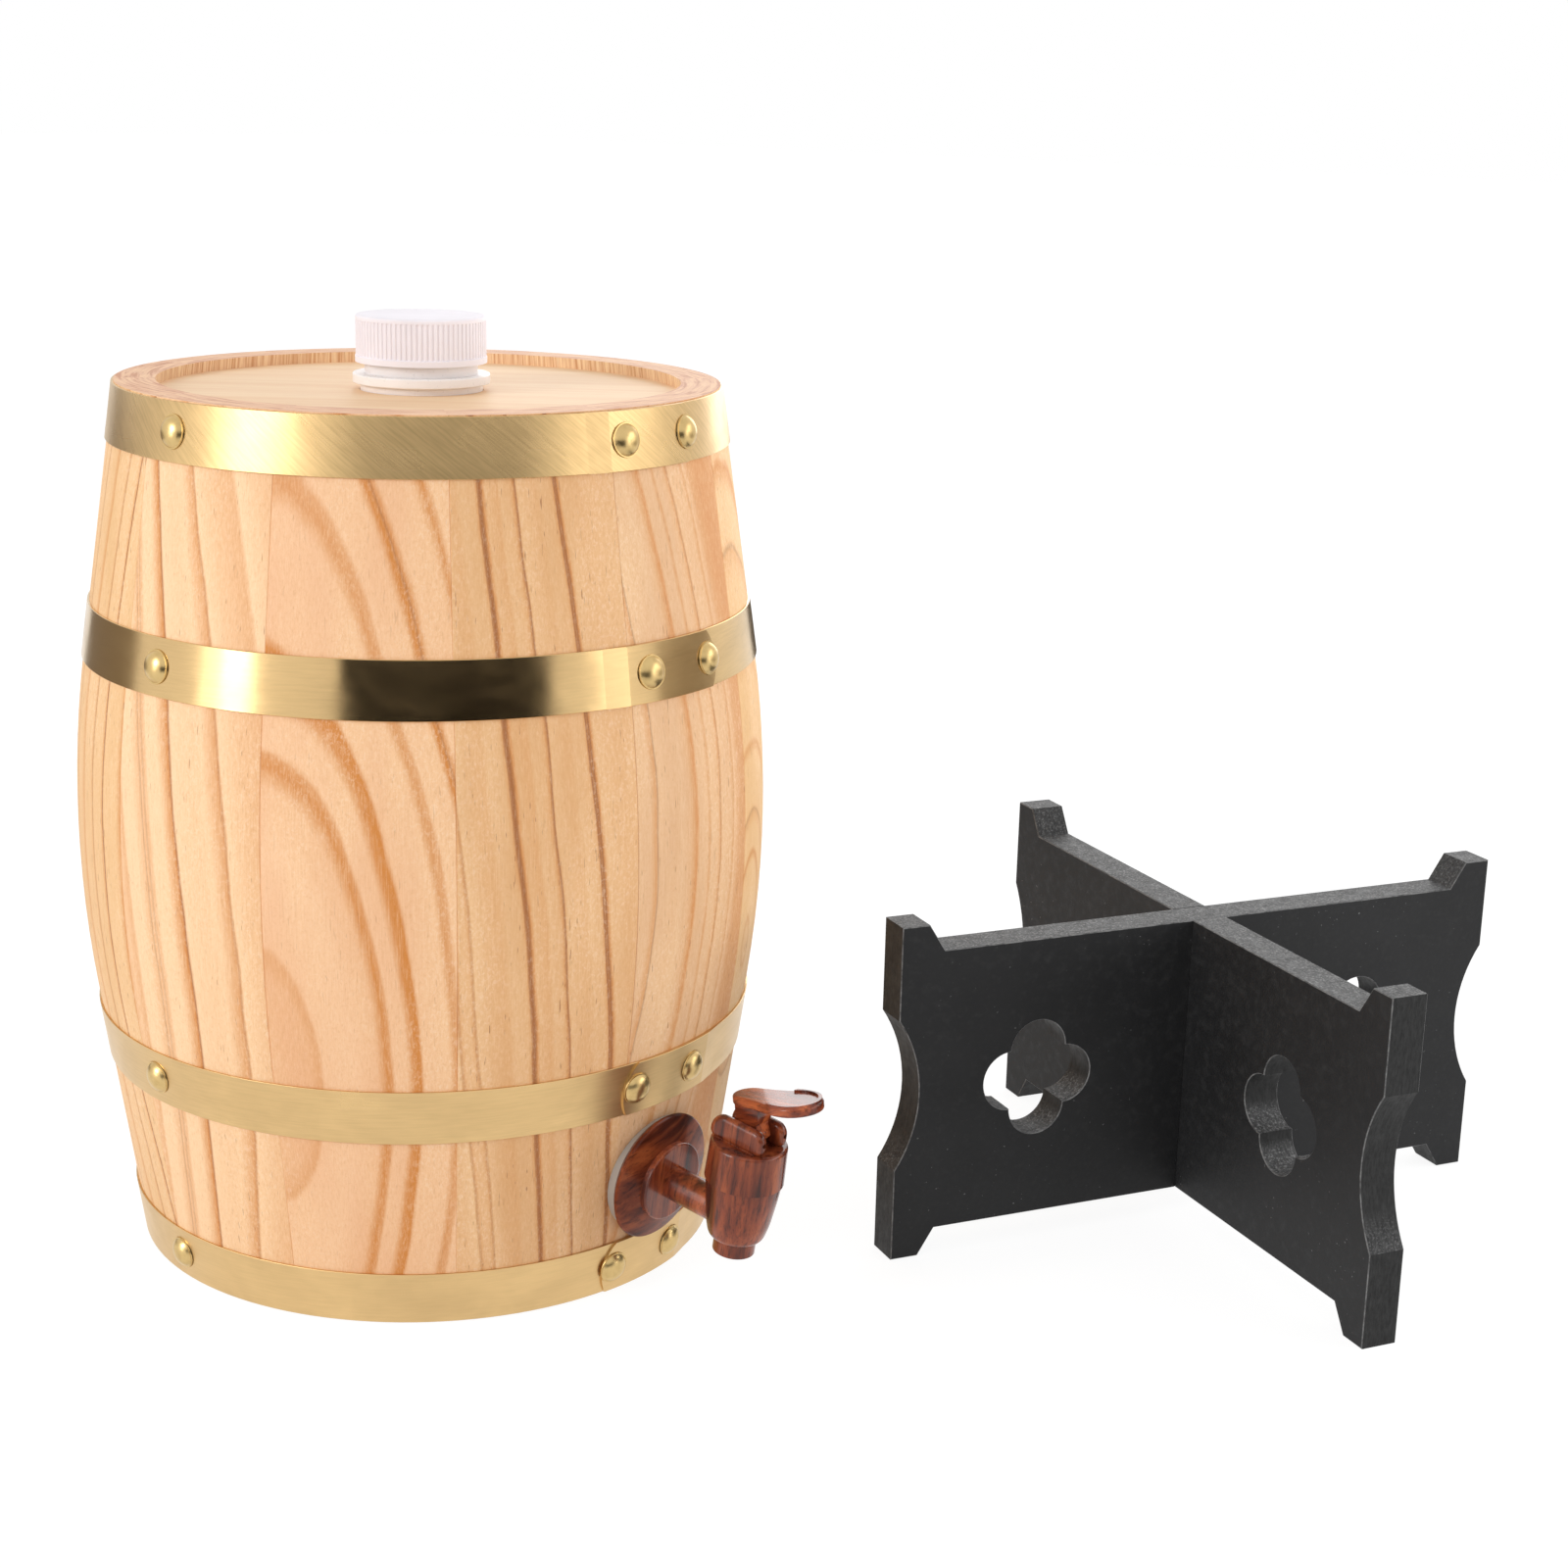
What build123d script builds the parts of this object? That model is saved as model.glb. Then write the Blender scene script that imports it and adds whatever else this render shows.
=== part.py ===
from build123d import *
from math import atan, cos, degrees, hypot, pi, radians, sin, sqrt
import os

# Oak cask liquor dispenser with a plastic tap, and the black cross stand that
# the cask is set on to pour. Millimetres, +Z up. The cask's base is centred
# on the origin and the tap points to -Y. Angles round the cask are measured
# from the tap towards +X.

# Cask, turned from staves
CASK_H = 320.0
BELLY_R = 127.0
BELLY_ARC_R = 430.0
BELLY_ARC_HALF = 62.0
STAVES = 12
STAVE_T = 14.5
STAVE_JOINT = -9.8
STAVE_ARRIS = 0.25
CROZE_DEPTH = 3.9
HEAD_T = 9.0
HEAD_IN = 4.0
HEAD_HOLE_R = 22.3

# Hoops: brass strap, laid on the conical ends of the cask, lapped at the tap side
STRAP_T = 0.8
STRAP_ARRIS = 0.15
HOOP_W = 20.0
RIM_HOOP_DROP = 0.4
SHOULDER_HOOP_DROP = 78.0
HIP_HOOP_RISE = 72.3
FOOT_HOOP_RISE = 0.3
FOOT_HOOP_W = 19.6
# side the outer strap end is on, then its angle at the top, middle and bottom
LAP_ENDS = [(1, 9.6, 11.8, 9.6), (1, 8.8, 11.0, 9.4), (-1, 7.8, 10.3, 9.3), (-1, 8.2, 10.8, 9.6)]
LAP_TAIL = 15.0
LAP_RAMP = 4.5

# Round-headed nails, five to a hoop
NAIL_ANGLES = [
    (-6.9, 9.5, -91.9, 90.0, 180.0),
    (-5.8, 8.7, -91.2, 90.0, 180.0),
    (-7.6, 6.3, -95.9, 90.0, 180.0),
    (-8.3, 7.7, -98.3, 90.0, 180.0),
]
NAIL_HEAD_R = 6.0
NAIL_LIP_T = 0.45
NAIL_DOME_R = 5.45
NAIL_DOME_H = 3.0
NAIL_SHANK_R = 1.2
NAIL_SHANK_L = 12.0

# Liner bottle inside the cask
LINER_GAP = 3.0
LINER_WALL = 2.0
LINER_HEAD_GAP = 3.0
LINER_TOP_FILLET = 14.0
LINER_FOOT_FILLET = 9.0
MOUTH_R = 45.0
NECK_LOW_R = 22.0
NECK_STEP_DROP = 1.5
NECK_R = 20.3
NECK_BORE_R = 18.3
NECK_H = 21.5
RING_R = 24.65
RING_T = 3.5
THREAD_PITCH = 4.0
THREAD_H = 1.0
THREAD_TURNS = 2.25
THREAD_RISE = 9.1

# Filler cap
CAP_FOOT_RISE = 7.5
CAP_DISC_T = 0.8
CAP_DISC_CLEAR = 0.3
CAP_R = 23.4
CAP_LIP_R = 23.65
CAP_BORE_R = 21.9
CAP_ROOF = 2.0
RIBS = 80
RIB_FOOT_RISE = 2.5
RIB_TOP_DROP = 1.8
RIB_DEPTH = 0.4
CAP_TOP_FILLET = 1.0

# Tap: along its shank (outwards), then along its upright axis
TAP_Z = 43.5
FLANGE_R = 24.0
FLANGE_BACK = 3.0
WASHER_R = 22.0
WASHER_T = 1.0
WASHER_GAP = 0.03
FLANGE_RIM = 4.4
FLANGE_HUB = 7.3
COLLAR_R = 14.8
COLLAR_END = 9.7
SHANK_R = 8.5
SHANK_END = -15.0
SPIGOT_R = 7.0
SPIGOT_END = -34.0
SHANK_BORE_R = 4.0
SHANK_HOLE_R = 9.2
SEAL_T = 2.0
SEAL_R = 10.5
BOSS_R = 12.0
BOSS_END = -36.0
PIPE_R = 6.2
BODY_X = 40.6
BODY_CURVE = [(8.7, -7.3), (9.9, -6.3), (10.7, -4.2), (11.5, -1.0), (12.1, 2.8), (12.9, 8.5), (13.6, 15.8)]
NOZZLE_R = 7.6
NOZZLE_FOOT = -13.0
NOZZLE_BORE_R = 4.6
SEAT_U = -4.8
CHAMBER_R = 7.8
INSERT_R = 11.2
INSERT_TOP = 22.0
BONNET_FOOT_R = 14.2
BONNET_TOP_R = 13.8
BONNET_TOP = 30.5
BONNET_ROOF = 25.5
BONNET_CAVITY_R = 9.6
BONNET_EDGE = 1.3
CUP_RIM_T = 1.2
EAR_IN = 3.8
EAR_OUT = 7.9
EAR_HALF = 11.75
EAR_SHIFT = -0.95
EAR_TOP = 39.3
EAR_CORNER = 4.4
EAR_BACK_CORNER = 6.0
EAR_SINK = 0.4
EAR_LOW_R = 3.0
EAR_FOOT_INSET = 0.5
EAR_EDGE = 1.95
EAR_HOLE_R = 0.9
EAR_HOLE_L = 1.6
EAR_HOLE_U = 34.9
PIVOT_OUT = 3.6
PIVOT_U = 34.6
PIVOT_PIN_R = 1.2
PIVOT_PIN_HALF = 6.4
LINK_U = 33.7
LINK_SLIDE = 0.12
LINK_PIN_R = 0.9
STEM_R = 2.3
STEM_FLAT = 1.6
STEM_TOP = 35.2
STEM_FOOT_R = 3.6
STEM_FOOT_U = -3.0
PLUG_R = 5.8
RUN_CLEAR = 0.05

# Lever and its thumb paddle
LEVER_HALF = 3.4
LEVER_SLOT = 1.9
HUB_R = 2.4
NECK_U = 39.0
NECK_FLARE = 5.3
PADDLE_TILT = 15.3
PADDLE_OUT = 9.59
PADDLE_FOOT_U = 35.04
PADDLE_LIFT = 16.0
PADDLE_T = 3.4
PADDLE_HALVES = [(-12.3, 5.0), (-7.8, 6.4), (-3.3, 7.0), (1.2, 8.0), (5.7, 9.2)]
PADDLE_BACK = -14.7
PADDLE_END = 21.4
PADDLE_END_R = 9.8
PADDLE_EDGE = 0.9
LIP_H = 0.8
LIP_START = 5.5
LIP_END_W = 2.0
LIP_CUT_R = 8.75

# Cross stand: two boards, half-lapped
STAND_X = 191.3
STAND_Y = -226.6
STAND_TURN = -28.17
BOARD_L = 262.8
BOARD_H = 131.1
BOARD_T = 14.66
HORN_W = 11.1
HORN_RUN = 6.6
HORN_DROP = 10.4
END_ARC_H = 59.1
END_ARC_IN = 9.1
FOIL_OUT = 72.3
FOIL_LOBE_R = 11.5
FOIL_LOBE_OUT = 11.3
LAP_CLEAR = 0.15
BOARD_ARRIS = 0.35

os.makedirs("parts", exist_ok=True)

SLOPE = BELLY_ARC_HALF / sqrt(BELLY_ARC_R**2 - BELLY_ARC_HALF**2)
SLOPE_DEG = degrees(atan(SLOPE))
MID_Z = CASK_H / 2
HOOP_SPANS = [
    (CASK_H - RIM_HOOP_DROP - HOOP_W, CASK_H - RIM_HOOP_DROP),
    (CASK_H - SHOULDER_HOOP_DROP - HOOP_W, CASK_H - SHOULDER_HOOP_DROP),
    (HIP_HOOP_RISE, HIP_HOOP_RISE + HOOP_W),
    (FOOT_HOOP_RISE, FOOT_HOOP_RISE + FOOT_HOOP_W),
]
HEAD_TOP = CASK_H - HEAD_IN
LINER_TOP = HEAD_TOP - HEAD_T - LINER_HEAD_GAP
NECK_STEP_Z = CASK_H - NECK_STEP_DROP
NECK_TOP = NECK_STEP_Z + NECK_H
THREAD_Z = NECK_STEP_Z + THREAD_RISE
CAP_FOOT = NECK_STEP_Z + CAP_FOOT_RISE
CAP_ROOF_Z = NECK_TOP + CAP_DISC_T
CAP_TOP = CAP_ROOF_Z + CAP_ROOF
RIB_FOOT = CAP_FOOT + RIB_FOOT_RISE
RIB_TOP = CAP_TOP - RIB_TOP_DROP
KNEE_R = BELLY_R - BELLY_ARC_R + sqrt(BELLY_ARC_R**2 - BELLY_ARC_HALF**2)


def save(name, *solids):
    """Write one node: a single solid, or a group of equal ones."""
    if len(solids) == 1:
        export_step(solids[0], "parts/" + name + ".step")
        return
    export_step(Compound(children=list(solids)), "parts/" + name + ".step")


def one(shape):
    """The only solid of a shape."""
    found = shape.solids()
    if len(found) != 1:
        raise ValueError("expected one solid, found " + str(len(found)))
    return found[0]


def wood_r(z):
    """Radius of the cask's outer face at height z."""
    off = abs(z - MID_Z)
    if off <= BELLY_ARC_HALF:
        return BELLY_R - BELLY_ARC_R + sqrt(BELLY_ARC_R**2 - off**2)
    return KNEE_R - (off - BELLY_ARC_HALF) * SLOPE


HEAD_R = wood_r(HEAD_IN) - STAVE_T + CROZE_DEPTH


def turned(inset, z0, z1):
    """Half section of the cask's outer curve, moved in by inset."""
    low = (wood_r(z0) - inset, z0)
    knee = (KNEE_R - inset, MID_Z - BELLY_ARC_HALF)
    belly = (BELLY_R - inset, MID_Z)
    shoulder = (KNEE_R - inset, MID_Z + BELLY_ARC_HALF)
    high = (wood_r(z1) - inset, z1)
    edges = [
        Line(low, knee),
        ThreePointArc(knee, belly, shoulder),
        Line(shoulder, high),
        Line(high, (0, z1)),
        Line((0, z1), (0, z0)),
        Line((0, z0), low),
    ]
    return make_face(edges)


def spun(face, angle=360.0):
    """Turn a half section, drawn as radius and height, about the upright axis."""
    return revolve(Plane.XZ * face, Axis.Z, angle)


def panel(*points):
    """Flat outline through the given points."""
    return make_face(Polyline(*points, close=True))


def post(radius, z0, z1):
    """Upright cylinder between two heights."""
    return Pos(0, 0, (z0 + z1) / 2) * Cylinder(radius, z1 - z0)


def rod(radius, x0, x1):
    """Cylinder along x between two stations."""
    return Pos((x0 + x1) / 2, 0, 0) * Rot(0, 90, 0) * Cylinder(radius, x1 - x0)


def round_cask(angle):
    """Turn from the cask's measure of angle, zero at the tap, to the x axis."""
    return Rot(0, 0, angle - 90)


# ---------------------------------------------------------------- tap frame
S_R = wood_r(TAP_Z)
OUT = (0, -cos(radians(SLOPE_DEG)), -sin(radians(SLOPE_DEG)))
UP = (0, -sin(radians(SLOPE_DEG)), cos(radians(SLOPE_DEG)))
TAP = Plane(origin=(0, -S_R, TAP_Z), x_dir=OUT, z_dir=UP).location
BODY = Pos(BODY_X, 0, 0)

# ---------------------------------------------------------------- nails
nail_section = make_face([
    Line((0, 0), (NAIL_HEAD_R, 0)),
    Line((NAIL_HEAD_R, 0), (NAIL_HEAD_R - 0.1, NAIL_LIP_T)),
    Line((NAIL_HEAD_R - 0.1, NAIL_LIP_T), (NAIL_DOME_R, NAIL_LIP_T)),
    Spline([(NAIL_DOME_R, NAIL_LIP_T), (NAIL_DOME_R * 0.74, NAIL_DOME_H * 0.66), (0, NAIL_DOME_H)],
           tangents=[(-0.42, 0.9), (-1, 0)]),
    Line((0, NAIL_DOME_H), (0, 0)),
])
shank_section = panel(
    (0, 0.2), (NAIL_SHANK_R, 0.2), (NAIL_SHANK_R, -NAIL_SHANK_L + 2.5), (0, -NAIL_SHANK_L))
nail_blank = one(spun(nail_section) + spun(shank_section))


def nail_at(hoop, angle, layers):
    """Nail on the hoop's middle line, standing on so many layers of strap."""
    z = sum(HOOP_SPANS[hoop]) / 2
    tilt = -SLOPE_DEG if z > MID_Z else SLOPE_DEG
    stand = layers * STRAP_T
    place = round_cask(angle) * Pos(wood_r(z), 0, z) * Rot(0, 90 + tilt, 0)
    lift = stand * cos(radians(SLOPE_DEG))
    return one(place * Pos(0, 0, lift) * nail_blank)


nails = []
for hoop in range(4):
    row = []
    for spot, angle in enumerate(NAIL_ANGLES[hoop]):
        row.append(nail_at(hoop, angle, 2 if spot < 2 else 1))
    nails.append(row)
    save("hoop_" + str(hoop + 1) + "_nails", *row)

# ---------------------------------------------------------------- staves
groove_low = panel(
    (0, HEAD_IN), (HEAD_R, HEAD_IN), (HEAD_R, HEAD_IN + HEAD_T), (0, HEAD_IN + HEAD_T))
groove_high = panel(
    (0, HEAD_TOP - HEAD_T), (HEAD_R, HEAD_TOP - HEAD_T), (HEAD_R, HEAD_TOP), (0, HEAD_TOP))
stave_section = turned(0, 0, CASK_H) - turned(STAVE_T, -1, CASK_H + 1) - groove_low - groove_high
stave_angle = 360.0 / STAVES
stave_blank = one(spun(stave_section, stave_angle))
long_edges = []
for edge in stave_blank.edges():
    centre = edge.position_at(0.5)
    tall = edge.bounding_box().size.Z > 20
    if tall and hypot(centre.X, centre.Y) > wood_r(centre.Z) - 1:
        long_edges.append(edge)
stave_blank = one(chamfer(long_edges, STAVE_ARRIS))
shank_hole = TAP * rod(SHANK_HOLE_R, -30, 20)
for number in range(STAVES):
    start = STAVE_JOINT + number * stave_angle
    stave = round_cask(start) * stave_blank
    for hoop in range(4):
        for spot, angle in enumerate(NAIL_ANGLES[hoop]):
            if (angle - start) % 360 < stave_angle:
                stave = stave - nails[hoop][spot]
    if number == 0:
        stave = stave - shank_hole
    save("stave_" + str(number + 1).zfill(2), one(stave))

# ---------------------------------------------------------------- heads
bottom_head = post(HEAD_R, HEAD_IN, HEAD_IN + HEAD_T)
save("bottom_head", one(bottom_head))
top_head = post(HEAD_R, HEAD_TOP - HEAD_T, HEAD_TOP)
top_head = top_head - post(HEAD_HOLE_R, HEAD_TOP - 2 * HEAD_T, CASK_H)
save("top_head", one(top_head))


# ---------------------------------------------------------------- hoops
def strap_section(span, under, over, arris):
    """Section of a strap layer lying on the cask between two heights."""
    z0, z1 = span
    r0 = wood_r(z0)
    r1 = wood_r(z1)
    rise = (r1 - r0) / (z1 - z0)
    return panel(
        (r0 + under, z0),
        (r0 + over - arris, z0),
        (r0 + over + arris * rise, z0 + arris),
        (r1 + over - arris * rise, z1 - arris),
        (r1 + over - arris, z1),
        (r1 + under, z1))


def hoop_solid(index):
    """Hoop: the closed strap, and the outer strap end lapped over it."""
    span = HOOP_SPANS[index]
    side, top, middle, bottom = LAP_ENDS[index]
    z0, z1 = span
    zm = (z0 + z1) / 2
    ring = spun(strap_section(span, 0, STRAP_T, STRAP_ARRIS))
    layer = spun(strap_section(span, STRAP_T - 0.1, 2 * STRAP_T, STRAP_ARRIS), LAP_TAIL + 13)
    if side > 0:
        layer = round_cask(-LAP_TAIL) * layer
    else:
        layer = round_cask(-13) * layer

    # rounded end of the outer strap
    r = wood_r(zm) + 2 * STRAP_T
    ends = [side * r * sin(radians(a)) for a in (top, middle, bottom)]
    far = -side * 60
    keep = make_face([
        ThreePointArc((ends[0], z1 + 0.01), (ends[1], zm), (ends[2], z0 - 0.01)),
        Line((ends[2], z0 - 0.01), (far, z0 - 0.01)),
        Line((far, z0 - 0.01), (far, z1 + 0.01)),
        Line((far, z1 + 0.01), (ends[0], z1 + 0.01)),
    ])
    layer = layer & extrude(Plane.XZ * keep, 160)

    # the strap comes down to the single layer along a short ramp
    a0 = -side * (LAP_TAIL - LAP_RAMP)
    a1 = -side * LAP_TAIL
    grow = 1.0 if z1 < MID_Z else -1.0
    r_out = max(wood_r(z0), wood_r(z1)) + 2 * STRAP_T
    r_in = max(wood_r(z0), wood_r(z1)) + STRAP_T
    p0 = (r_out * sin(radians(a0)), -r_out * cos(radians(a0)))
    p1 = (r_in * sin(radians(a1)), -r_in * cos(radians(a1)))
    lean = atan(SLOPE) * grow
    run = (p1[0] - p0[0], p1[1] - p0[1])
    size = hypot(*run)
    run = (run[0] / size, run[1] / size)
    normal = (run[1], -run[0])
    if normal[1] > 0:
        normal = (-normal[0], -normal[1])
    slanted = Vector(normal[0] * cos(lean), normal[1] * cos(lean), -sin(lean))
    ref_z = z1 if wood_r(z1) > wood_r(z0) else z0
    face = Plane(origin=(p0[0], p0[1], ref_z), x_dir=(run[0], run[1], 0), z_dir=slanted)
    shave = face.location * Pos(20, 0, 5) * Box(40, 80, 10)
    layer = layer - shave
    return one(ring + one(layer))


for hoop in range(4):
    strap = hoop_solid(hoop)
    for nail in nails[hoop]:
        strap = strap - nail
    save("hoop_" + str(hoop + 1), one(strap))


# ---------------------------------------------------------------- liner bottle
def bottle(inset, foot, top, foot_fillet, top_fillet):
    """Rounded body of the liner."""
    body = one(spun(turned(inset, foot, top)))
    rims = body.edges().filter_by(GeomType.CIRCLE).sort_by(Axis.Z)
    body = fillet([rims[0]], foot_fillet)
    rims = body.edges().filter_by(GeomType.CIRCLE).sort_by(Axis.Z)
    return one(fillet([rims[-1]], top_fillet))


def ridge(base_r, tip_r, z, hand_turn):
    """Screw ridge, right-handed, of a trapezoid section."""
    path = Helix(pitch=THREAD_PITCH, height=THREAD_PITCH * THREAD_TURNS, radius=base_r,
                 center=(0, 0, z))
    sink = -0.25 if tip_r > base_r else 0.25
    section = panel(
        (base_r + sink, -0.95), (tip_r, -0.45), (tip_r, 0.45), (base_r + sink, 0.95))
    section = Plane(origin=(0, 0, z), x_dir=(1, 0, 0), z_dir=(0, -1, 0)) * section
    return Rot(0, 0, hand_turn) * sweep(section, path=path, is_frenet=True)


foot_z = HEAD_IN + HEAD_T
outer = bottle(STAVE_T + LINER_GAP, foot_z, LINER_TOP, LINER_FOOT_FILLET, LINER_TOP_FILLET)
inner = bottle(STAVE_T + LINER_GAP + LINER_WALL, foot_z + LINER_WALL, LINER_TOP - LINER_WALL,
               LINER_FOOT_FILLET - LINER_WALL, LINER_TOP_FILLET - LINER_WALL)
liner = outer - inner - post(MOUTH_R, LINER_TOP - 12, LINER_TOP + 1)
liner = liner + TAP * rod(BOSS_R, BOSS_END, SHANK_END - SEAL_T)
liner = liner - TAP * rod(SPIGOT_R, BOSS_END - 5, 0)
save("liner", one(liner))

# The middle of the liner's roof with the screw neck, welded into the body
roof_z = LINER_TOP - LINER_WALL
mouth = post(MOUTH_R, roof_z, LINER_TOP) + post(NECK_LOW_R, roof_z, NECK_STEP_Z)
mouth = mouth + post(NECK_R, NECK_STEP_Z, NECK_TOP) - post(NECK_BORE_R, roof_z - 1, NECK_TOP + 1)
mouth = one(mouth) + ridge(NECK_R, NECK_R + THREAD_H, THREAD_Z, 0)
save("liner_mouth", one(mouth))

neck_ring = post(RING_R, NECK_STEP_Z, NECK_STEP_Z + RING_T)
rim_edges = neck_ring.edges().filter_by(GeomType.CIRCLE)
neck_ring = fillet(rim_edges, 0.5) - post(NECK_R, NECK_STEP_Z - 1, NECK_STEP_Z + RING_T + 1)
save("neck_ring", one(neck_ring))

# ---------------------------------------------------------------- filler cap
cap_section = panel(
    (CAP_BORE_R, CAP_FOOT), (CAP_LIP_R, CAP_FOOT), (CAP_LIP_R, RIB_FOOT - 0.4),
    (CAP_R - RIB_DEPTH, RIB_FOOT), (CAP_R - RIB_DEPTH, RIB_TOP), (CAP_R, RIB_TOP),
    (CAP_R, CAP_TOP), (0, CAP_TOP), (0, CAP_ROOF_Z), (CAP_BORE_R, CAP_ROOF_Z))
cap = one(spun(cap_section))
top_edge = cap.edges().filter_by(GeomType.CIRCLE).group_by(Axis.Z)[-1]
cap = one(fillet(top_edge, CAP_TOP_FILLET))
step = 2 * pi / RIBS
outline = []
for rib in range(RIBS):
    turn = rib * step
    for share, radius in ((-0.30, -RIB_DEPTH - 0.05), (-0.16, 0), (0.16, 0), (0.30, -RIB_DEPTH - 0.05)):
        away = CAP_R + radius
        angle = turn + share * step
        outline.append((away * cos(angle), away * sin(angle)))
band = Pos(0, 0, RIB_FOOT - 0.2) * extrude(panel(*outline), RIB_TOP - RIB_FOOT + 0.4)
band = band - post(CAP_R - 1.0, RIB_FOOT - 1, RIB_TOP + 1)
cap = one(cap + band)
cap = cap + ridge(CAP_BORE_R, CAP_BORE_R - THREAD_H, THREAD_Z + THREAD_PITCH / 2, 0)
save("filler_cap", one(cap))

cap_seal = post(CAP_BORE_R - CAP_DISC_CLEAR, NECK_TOP, CAP_ROOF_Z)
save("cap_seal", one(cap_seal))

# ---------------------------------------------------------------- tap mounting
cask_core = spun(turned(-WASHER_GAP, 0, CASK_H))
washer = TAP * rod(WASHER_R, -8, WASHER_T) - TAP * rod(SHANK_R, -20, 5) - cask_core
save("tap_washer", one(washer))

flange_section = panel(
    (SHANK_R, WASHER_T), (WASHER_R, WASHER_T), (FLANGE_R - 0.3, FLANGE_BACK - 0.3), (FLANGE_R, FLANGE_BACK + 0.1),
    (FLANGE_R, FLANGE_RIM - 0.5), (FLANGE_R - 0.5, FLANGE_RIM),
    (COLLAR_R, FLANGE_HUB), (SHANK_R, FLANGE_HUB))
flange = TAP * Rot(0, 90, 0) * spun(flange_section)
save("tap_flange", one(flange))

seal = rod(SEAL_R, SHANK_END - SEAL_T, SHANK_END) - rod(SPIGOT_R, SHANK_END - 5, 0)
save("shank_seal", one(TAP * seal))

# ---------------------------------------------------------------- tap body
body_section = make_face([
    Line((0, NOZZLE_FOOT), (NOZZLE_R, NOZZLE_FOOT)),
    Line((NOZZLE_R, NOZZLE_FOOT), (NOZZLE_R, BODY_CURVE[0][1])),
    Line((NOZZLE_R, BODY_CURVE[0][1]), BODY_CURVE[0]),
    Spline(BODY_CURVE),
    Line(BODY_CURVE[-1], (0, BODY_CURVE[-1][1])),
    Line((0, BODY_CURVE[-1][1]), (0, NOZZLE_FOOT)),
])
shell_top = BODY_CURVE[-1][1]
collar = rod(COLLAR_R, FLANGE_HUB, COLLAR_END)
collar_edges = collar.edges().filter_by(GeomType.CIRCLE).sort_by(Axis.X)
collar = fillet([collar_edges[-1]], 0.7)
tap_body = BODY * spun(body_section) + rod(PIPE_R, COLLAR_END - 1, BODY_X - 4)
tap_body = tap_body + collar
tap_body = tap_body + rod(SHANK_R, SHANK_END, FLANGE_HUB + 1) + rod(SPIGOT_R, SPIGOT_END, SHANK_END + 1)
tap_body = tap_body + BODY * post(INSERT_R, shell_top - 1, INSERT_TOP)
tap_body = tap_body - BODY * post(CHAMBER_R, SEAT_U, INSERT_TOP + 1)
tap_body = tap_body - BODY * post(NOZZLE_BORE_R, NOZZLE_FOOT - 1, SEAT_U + 1)
tap_body = tap_body - rod(SHANK_BORE_R, SPIGOT_END - 1, BODY_X)
save("tap_body", one(TAP * tap_body))

# ---------------------------------------------------------------- bonnet
bonnet = spun(panel(
    (0, shell_top), (BONNET_FOOT_R, shell_top), (BONNET_TOP_R, BONNET_TOP), (0, BONNET_TOP)))
top_rim = bonnet.edges().filter_by(GeomType.CIRCLE).sort_by(Axis.Z)[-1]
bonnet = fillet([top_rim], BONNET_EDGE)
ear_foot = BONNET_TOP - 1.0
ear_low = BONNET_TOP - EAR_SINK
ear_face = make_face([
    Line((EAR_LOW_R - EAR_HALF, ear_low), (EAR_HALF - EAR_LOW_R, ear_low)),
    RadiusArc((EAR_HALF - EAR_LOW_R, ear_low), (EAR_HALF, ear_low + EAR_LOW_R), -EAR_LOW_R),
    Line((EAR_HALF, ear_low + EAR_LOW_R), (EAR_HALF, EAR_TOP - EAR_CORNER)),
    RadiusArc((EAR_HALF, EAR_TOP - EAR_CORNER), (EAR_HALF - EAR_CORNER, EAR_TOP), -EAR_CORNER),
    Line((EAR_HALF - EAR_CORNER, EAR_TOP), (EAR_BACK_CORNER - EAR_HALF, EAR_TOP)),
    RadiusArc((EAR_BACK_CORNER - EAR_HALF, EAR_TOP), (-EAR_HALF, EAR_TOP - EAR_BACK_CORNER), -EAR_BACK_CORNER),
    Line((-EAR_HALF, EAR_TOP - EAR_BACK_CORNER), (-EAR_HALF, ear_low + EAR_LOW_R)),
    RadiusArc((-EAR_HALF, ear_low + EAR_LOW_R), (EAR_LOW_R - EAR_HALF, ear_low), -EAR_LOW_R),
])
ear_thick = EAR_OUT - EAR_IN
ear_bar = extrude(Plane.XZ * ear_face, ear_thick / 2, both=True)
ear_bar = fillet([edge for edge in ear_bar.edges() if abs(edge.tangent_at(0.5).Y) < 0.5], EAR_EDGE)
foot_top = ear_low + EAR_LOW_R
ear_base = Pos(0, 0, (ear_foot + foot_top) / 2) * Box(
    2 * (EAR_HALF - EAR_LOW_R), ear_thick - 2 * EAR_FOOT_INSET, foot_top - ear_foot)
ear = Pos(0, (EAR_IN + EAR_OUT) / 2, 0) * one(ear_bar + ear_base)
hole = rod(EAR_HOLE_R, EAR_HALF - EAR_HOLE_L, EAR_HALF + 1)
ear = Pos(EAR_SHIFT, 0, 0) * one(ear - Pos(0, (EAR_IN + EAR_OUT) / 2, EAR_HOLE_U) * hole)
bonnet = bonnet + ear + mirror(ear, Plane.XZ)
bonnet = bonnet - post(INSERT_R, shell_top - 1, INSERT_TOP + CUP_RIM_T)
bonnet = bonnet - post(BONNET_CAVITY_R, INSERT_TOP, BONNET_ROOF)
bonnet = bonnet - post(STEM_R + RUN_CLEAR, BONNET_ROOF - 1, BONNET_TOP + 1)
pivot_hole = Pos(PIVOT_OUT, 0, PIVOT_U) * Rot(90, 0, 0) * Cylinder(PIVOT_PIN_R, 2 * PIVOT_PIN_HALF)
bonnet = bonnet - pivot_hole
save("tap_bonnet", one(TAP * BODY * one(bonnet)))

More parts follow.
